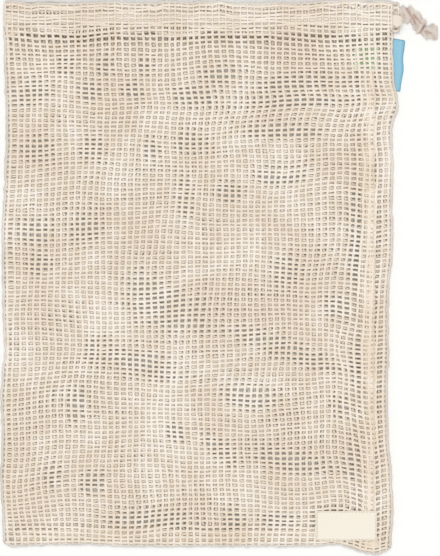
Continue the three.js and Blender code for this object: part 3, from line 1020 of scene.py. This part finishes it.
# Seam allowances: two turned-in layers of net each, sewn along the seam and oversewn at the raw edge
seams = {
    "side_seam_net": {
        "node": "side_seam_allowance", "fromX": 128.6, "toX": 141.6, "middleY": 0.0, "reachLow": 0.0,
        "ribs": 4, "rows": 112, "rawEdge": "left", "seed": 31,
    },
    "bottom_seam_net": {
        "node": "bottom_seam_allowance", "fromX": -145.5, "toX": 145.5, "middleY": -208.0, "reachLow": 1.2,
        "ribs": 62, "rows": 4, "rawEdge": "top", "seed": 32,
    },
}
seamLay = {
    "heights": (1.8, 2.6),  # middle of each layer above the CAD solid's underside
    "underside": 1.4,  # height of that underside where a plumb line misses it
    "margin": 0.25, "shift": 0.5,  # room beside the crossings, shift of the second layer, in meshes
    "weftEnd": 1.2, "wander": 0.25, "jitter": 0.12, "threadLift": 0.75,
}
seamStitch = {"length": 2.2, "gap": 0.9, "lift": 0.15}


def seamSpan(tree, seam, x):
    # Lowest and highest Y of a seam allowance at each X, found by level rays through its thickness
    far = rayStart["level"]
    low = []
    high = []
    for at in x:
        level = sum(plumbRay(tree, at, seam["middleY"], way).z for way in (1, -1)) / 2
        low.append(castRay(tree, (at, -far, level), (0, 1, 0)).y)
        high.append(castRay(tree, (at, far, level), (0, -1, 0)).y)
    return np.array(low) - seam["reachLow"] + bulge(x, pouch["bottomBulges"]), np.array(high)


def seamLayer(tree, seam, height, shift, rng):
    margin = seamLay["margin"]
    counts = (seam["ribs"], seam["rows"])
    shares = [(np.arange(count) + margin + shift) / (count + 2 * margin) for count in counts]
    across, along = np.meshgrid(*shares, indexing="ij")
    x = seam["fromX"] + across * (seam["toX"] - seam["fromX"])
    low, high = seamSpan(tree, seam, x[:, 0])
    y = low[:, None] + along * (high - low)[:, None]
    z = heightsOn(tree, x, y, 1, seamLay["underside"]) + height
    x = x + wander(rng, x.shape, 1, seamLay["wander"], seamLay["jitter"])
    y = y + wander(rng, x.shape, 0, seamLay["wander"], seamLay["jitter"])
    return np.stack([x, y, z], axis=-1)


def seamThreads(cross, rawEdge):
    # A zigzag over the raw edge and a line of stitches along the seam
    lines = cross if rawEdge == "left" else cross.swapaxes(0, 1)[::-1]
    raised = lines + seamLay["threadLift"] * upward
    zigzag = np.stack(raised[:2], axis=1).reshape(-1, 3)
    return [zigzag] + stitchRuns(raised[-1], seamStitch)


def makeSeam(name, seam):
    tree = surfaceTree(seam["node"])
    rng = np.random.default_rng(seam["seed"])
    end = np.array([seamLay["weftEnd"], 0, 0])
    ribs = []
    wefts = []
    for height, shift in zip(seamLay["heights"], (0.0, seamLay["shift"])):
        cross = seamLayer(tree, seam, height, shift, rng)
        for nodes in cross:
            ribs += ribRuns(nodes, upward, thinYarn)
        for row in range(cross.shape[1]):
            wefts.append(np.vstack([cross[0, row] - end, halfway(cross[:, row]), cross[-1, row] + end]))
    ribSection, weftSection = yarnSections(thinYarn, thinRibSides)
    threads = seamThreads(cross, seam["rawEdge"])
    groups = ((ribs, ribSection, 0), (wefts, weftSection, 0), (threads, threadSection, 1))
    piece = strandPiece(name, groups, rng, thinYarn["uneven"], seamCotton, sewingThread)
    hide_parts(seam["node"])
    print(name, "made")


for seamName, seamSettings in seams.items():
    makeSeam(seamName, seamSettings)


# Labels: small flat cloths on their CAD places
labels = {
    # corners anticlockwise from the lower left; bulges of the right side: share up, half height, mm
    "patch_label_cloth": {
        "node": "patch_label", "look": "patch", "slot": "label_cotton", "restsOn": ["net_front_3"],
        "corners": [(93.6, -210.8), (141.8, -210.8), (141.8, -187.2), (93.6, -187.2)], "bulges": [],
        "thickness": 0.8, "columns": 32, "rows": 16, "wave": 0.12, "sink": 1.0, "stitched": True,
    },
    "inner_label_ribbon": {
        "node": "inner_label", "look": "inner", "slot": "label_satin", "restsOn": ["side_seam_net"],
        "corners": [(124.0, 162.0), (143.2, 162.0), (143.2, 180.0), (124.0, 180.0)], "bulges": [],
        "thickness": 0.5, "columns": 20, "rows": 20, "wave": 0.1, "sink": 0.1, "stitched": False,
    },
    "side_tag_ribbon": {
        "node": "side_tag", "look": "tag", "slot": "tag_satin", "restsOn": [],
        "corners": [(150.5, 145.6), (160.8, 144.6), (164.7, 185.3), (150.5, 187.7)],
        "bulges": [(0.41, 0.18, 1.0), (0.65, 0.12, -0.5)],
        "thickness": 0.6, "columns": 10, "rows": 36, "wave": 0.12, "sink": 0.0, "stitched": False,
    },
}
labelWave = {"across": 9.0, "along": 5.0, "bend": 2.0}  # radians over the label's sides
labelStitch = {"length": 2.0, "gap": 0.9, "lift": 0.12, "inset": 1.2, "steps": 30, "uneven": 0.1, "seed": 41}


def labelPlace(label):
    # A label's point at shares of its sides, sunk from its CAD solid's middle to the flatter net
    tree = surfaceTree(label["node"])
    corners = np.array(label["corners"])
    inset = 0.05  # keeps the plumb lines off the very edge

    def place(across, along):
        low = corners[0] + across * (corners[1] - corners[0])
        high = corners[3] + across * (corners[2] - corners[3])
        plan = low + along * (high - low)
        plan[0] += across * bulge(along, label["bulges"])
        inside = plan + inset * (corners.mean(axis=0) - plan)
        middle = sum(plumbRay(tree, *inside, way).z for way in (1, -1)) / 2
        bend = labelWave["bend"] * math.sin(labelWave["along"] * along)
        wave = label["wave"] * math.sin(labelWave["across"] * across + bend)
        return (*plan, middle + wave - label["sink"])

    return place


def labelStitches(name, place, width, height, thickness):
    # Small stitches round the label, just inside its edge
    insetX = labelStitch["inset"] / width
    insetY = labelStitch["inset"] / height
    corners = [(insetX, insetY), (1 - insetX, insetY), (1 - insetX, 1 - insetY), (insetX, 1 - insetY)]
    runs = []
    for start, end in zip(corners, corners[1:] + corners[:1]):
        shares = np.linspace(start, end, labelStitch["steps"])
        line = np.array([place(*share) for share in shares]) + thickness / 2 * upward
        runs += stitchRuns(line, labelStitch)
    rng = np.random.default_rng(labelStitch["seed"])
    return strandPiece(name, [(runs, threadSection, 0)], rng, labelStitch["uneven"], sewingThread)


def makeLabel(name, label):
    place = labelPlace(label)
    corners = np.array(label["corners"])
    width = np.linalg.norm(corners[1] - corners[0])
    height = np.linalg.norm(corners[3] - corners[0])
    material = wovenLabel(labelLooks[label["look"]], width, height)
    piece = linkPiece(name, gridMesh(name, label["columns"], label["rows"], place), material)
    thicken(piece, label["thickness"])
    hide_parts(label["node"])
    trim = []
    if label["stitched"]:
        trim = [labelStitches(name + "_stitches", place, width, height, label["thickness"])]
    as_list(label["restsOn"])
    print(name, "made")


for labelName, labelSettings in labels.items():
    makeLabel(labelName, labelSettings)


# Floor and light: a plain white floor under two soft boxes and an even sky
studio = {
    "floorSize": 20.0, "floor": "#F8F8F6", "floorRoughness": 0.9,
    "roller": 4.0, "rollerDepth": 0.05, "rollerStrength": 0.1,  # grain and depth in mm
    "sky": 0.48, "lampSize": 1.3, "lampPower": 31.5,
    "lampPlaces": [(-0.2, 1.2, 2.8), (0.2, -1.2, 2.8)],
}


def paintedFloor():
    # Matt painted board: one plain white, with a faint unevenness from the roller
    material, tree, shader = startMaterial("matt_white_paint", studio["floorRoughness"], 0.0)
    shader.inputs["Base Color"].default_value = hexColour(studio["floor"])
    place = addNode(tree, "ShaderNodeTexCoord").outputs["Object"]
    roller = addNode(tree, "ShaderNodeTexNoise", inputs={
        "Vector": place, "Scale": perMetre(studio["roller"]),
    })
    bump = addNode(tree, "ShaderNodeBump", inputs={
        "Height": roller.outputs["Fac"], "Strength": studio["rollerStrength"],
        "Distance": studio["rollerDepth"] * mm,
    })
    tree.links.new(bump.outputs["Normal"], shader.inputs["Normal"])
    return material


def layFloor():
    work = bmesh.new()
    bmesh.ops.create_grid(work, x_segments=2, y_segments=2, size=studio["floorSize"] / 2)
    mesh = bpy.data.meshes.new("floor")
    work.to_mesh(mesh)
    work.free()
    mesh.materials.append(paintedFloor())
    floor = bpy.data.objects.new("floor", mesh)
    scene.collection.objects.link(floor)


def lightStudio():
    world = bpy.data.worlds.new("studio")
    world.use_nodes = True
    sky = world.node_tree.nodes["Background"]
    sky.inputs["Color"].default_value = (1.0, 1.0, 1.0, 1.0)
    sky.inputs["Strength"].default_value = studio["sky"]
    scene.world = world
    lamp = bpy.data.lights.new("soft_box", "AREA")
    lamp.size = studio["lampSize"]
    lamp.energy = studio["lampPower"]
    for place in studio["lampPlaces"]:
        box = bpy.data.objects.new("soft_box", lamp)
        box.location = place
        box.rotation_euler = (-box.location).to_track_quat("-Z", "Y").to_euler()
        scene.collection.objects.link(box)
    scene.view_settings.view_transform = "Standard"


layFloor()
lightStudio()
print("studio lit")
